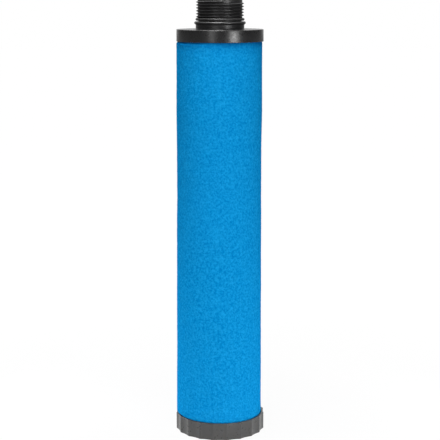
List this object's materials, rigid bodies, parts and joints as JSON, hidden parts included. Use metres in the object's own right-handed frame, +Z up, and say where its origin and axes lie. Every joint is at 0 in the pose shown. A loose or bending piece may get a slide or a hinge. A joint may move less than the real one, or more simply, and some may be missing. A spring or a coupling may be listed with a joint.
{
  "type": "fine filter cartridge",
  "caption": "Compressed-air fine filter cartridge: threaded neck with a seal ring, black top cap, blue foam sleeve over a pleated medium, dark bottom cap with grip scallops.",
  "frame": {"origin": "centre of the flat underside of the bottom cap", "axes": "+Z up the cartridge's axis, out of the threaded neck; a grip scallop faces -Y and +X"},
  "size_m": [0.0632, 0.0632, 0.3082],
  "materials": {
    "top_cap_plastic": "satin black",
    "seal_rubber": "soft sheen",
    "resin": "cast, cream",
    "support_steel": "satin",
    "filter_medium": "matte white fibre",
    "blue_foam": "matte open foam",
    "bottom_cap_plastic": "satin dark grey"
  },
  "bodies": {
    "root": {"top_end_cap": "top_cap_plastic", "neck_seal_ring": "seal_rubber", "top_resin_ring": "resin", "inner_core": "support_steel", "pleated_media": "filter_medium", "outer_cage": "support_steel", "foam_sleeve": "blue_foam", "bottom_resin_disc": "resin", "bottom_end_cap": "bottom_cap_plastic"}
  },
  "joints": []
}
